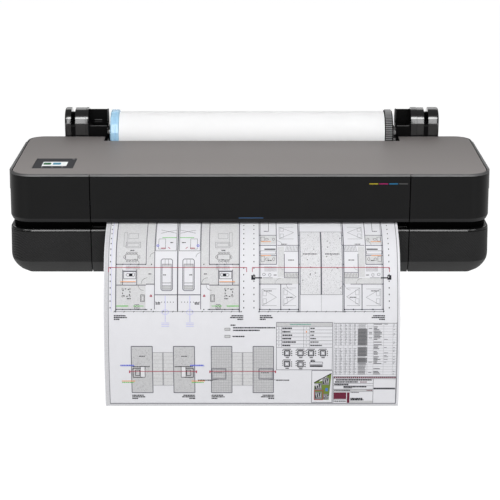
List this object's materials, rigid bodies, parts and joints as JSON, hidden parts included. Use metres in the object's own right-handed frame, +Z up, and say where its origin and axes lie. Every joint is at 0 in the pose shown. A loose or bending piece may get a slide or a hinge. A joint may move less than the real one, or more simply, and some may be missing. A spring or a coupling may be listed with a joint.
{
  "type": "large format plotter",
  "caption": "Desktop large format inkjet plotter with rear roll feed, tilting display and a printed drawing hanging from its front slot.",
  "frame": {"origin": "centre of the base pan's flat underside, above the rubber feet", "axes": "+X to the operator's right along the carriage's travel, +Y from the front to the roll at the back, +Z up"},
  "size_m": [1.013, 0.5739, 0.5255],
  "materials": {
    "charcoal": "fine grained dark charcoal moulding",
    "textured_black": "black moulding with a fine diagonal weave texture",
    "gloss_black": "glossy black moulding",
    "taupe": "satin warm grey plate",
    "dark": "plain dark inner moulding",
    "blue": "light blue hub plastic",
    "paper": "uncoated white paper",
    "card": "grey-brown card tube",
    "steel": "ground steel",
    "light_metal": "folded and turned light metal",
    "rubber": "dark rubber",
    "glass": "dark cover glass of the display",
    "light": "status light's diffuser",
    "board": "green circuit board",
    "film": "encoder film",
    "yellow": "yellow ink cartridge",
    "magenta": "magenta ink cartridge",
    "cyan": "cyan ink cartridge",
    "black_ink": "black ink cartridge"
  },
  "bodies": {
    "chassis": {"upper_left_cover": "charcoal", "upper_right_cover": "charcoal", "lower_left_cover": "textured_black", "lower_right_cover": "textured_black", "lower_front_panel": "textured_black", "top_plate": "taupe", "base_pan": "dark", "foot_front_left": "rubber", "foot_front_right": "rubber", "foot_back_left": "rubber", "foot_back_right": "rubber", "output_chute": "dark", "print_platen": "dark", "paper_guide": "dark", "roll_trough": "dark", "paper_web": "paper", "feed_motor": "light_metal", "roller_post_left": "dark", "roller_post_right": "dark", "pinch_bar": "light_metal", "roll_support_left": "gloss_black", "roll_support_right": "gloss_black", "guide_rod": "steel", "carriage_belt": "rubber", "carriage_motor": "light_metal", "idler_post": "light_metal", "encoder_strip": "film", "ink_tray": "dark", "ink_cartridge_yellow": "yellow", "ink_cartridge_magenta": "magenta", "ink_cartridge_cyan": "cyan", "ink_cartridge_black": "black_ink", "cutter_rail": "light_metal", "service_station": "dark", "main_board": "board", "power_supply": "light_metal", "port_panel": "gloss_black", "power_inlet": "gloss_black"},
    "door": {"front_door": "charcoal", "status_light": "light"},
    "display": {"display_housing": "gloss_black", "display_glass": "glass"},
    "button": {"power_button": "gloss_black"},
    "carriage": {"carriage": "dark", "printhead": "gloss_black"},
    "left_pulley": {"drive_pulley": "light_metal"},
    "right_pulley": {"idler_pulley": "light_metal"},
    "cutter": {"cutter": "dark"},
    "sheet": {"output_sheet": "paper"},
    "feed_roller": {"drive_roller": "rubber", "drive_gear": "dark"},
    "motor_pinion": {"feed_motor_pinion": "dark"},
    "pinch": {"pinch_roller": "rubber"},
    "output": {"output_roller": "rubber"},
    "roll": {"spindle_shaft": "light_metal", "blue_hub": "blue", "black_hub": "charcoal", "spindle_gear": "charcoal", "paper_core": "card", "paper_roll": "paper"}
  },
  "joints": [
    {"name": "door_open", "type": "hinge", "parent": "chassis", "child": "door", "pos_m": [0, -0.179, 0.2143], "axis": [-1, 0, 0], "range_deg": [0, 92]},
    {"name": "display_tilt", "type": "hinge", "parent": "chassis", "child": "display", "pos_m": [-0.417, -0.1286, 0.2152], "axis": [1, 0, 0], "range_deg": [0, 60]},
    {"name": "power_press", "type": "slide", "parent": "display", "child": "button", "axis": [0, 0, -1], "range_m": [0, 0.0008], "stiffness_N_per_m": 400, "springref_m": -0.0005},
    {"name": "carriage_travel", "type": "slide", "parent": "chassis", "child": "carriage", "axis": [1, 0, 0], "range_m": [-0.82, 0]},
    {"name": "left_pulley_turn", "type": "hinge", "parent": "chassis", "child": "left_pulley", "pos_m": [-0.455, 0.021, 0.166], "axis": [0, 0, 1], "continuous": true},
    {"name": "right_pulley_turn", "type": "hinge", "parent": "chassis", "child": "right_pulley", "pos_m": [0.455, 0.021, 0.166], "axis": [0, 0, 1], "continuous": true},
    {"name": "cutter_travel", "type": "slide", "parent": "chassis", "child": "cutter", "axis": [1, 0, 0], "range_m": [0, 0.65]},
    {"name": "sheet_feed", "type": "slide", "parent": "chassis", "child": "sheet", "axis": [0, 0, 1], "range_m": [0, 0.262], "deforming": ["output_sheet"]},
    {"name": "feed_roller_turn", "type": "hinge", "parent": "chassis", "child": "feed_roller", "pos_m": [0, -0.035, 0.0977], "axis": [1, 0, 0], "continuous": true},
    {"name": "feed_motor_turn", "type": "hinge", "parent": "chassis", "child": "motor_pinion", "pos_m": [-0.3285, -0.00197, 0.08568], "axis": [1, 0, 0], "continuous": true},
    {"name": "pinch_roller_turn", "type": "hinge", "parent": "chassis", "child": "pinch", "pos_m": [0.005, -0.035, 0.1161], "axis": [1, 0, 0], "continuous": true},
    {"name": "output_roller_turn", "type": "hinge", "parent": "chassis", "child": "output", "pos_m": [0, -0.155, 0.1151], "axis": [1, 0, 0], "continuous": true},
    {"name": "roll_turn", "type": "hinge", "parent": "chassis", "child": "roll", "pos_m": [0.005, 0.205, 0.2185], "axis": [1, 0, 0], "continuous": true}
  ],
  "couplings": [
    {"joint": "left_pulley_turn", "follows": "carriage_travel", "rad_per_m": 91.743},
    {"joint": "right_pulley_turn", "follows": "carriage_travel", "rad_per_m": 91.743},
    {"joint": "feed_roller_turn", "follows": "sheet_feed", "rad_per_m": -81.301},
    {"joint": "feed_motor_turn", "follows": "sheet_feed", "rad_per_m": 146.34},
    {"joint": "pinch_roller_turn", "follows": "sheet_feed", "rad_per_m": 188.68},
    {"joint": "output_roller_turn", "follows": "sheet_feed", "rad_per_m": 232.56},
    {"joint": "roll_turn", "follows": "sheet_feed", "rad_per_m": -20}
  ]
}
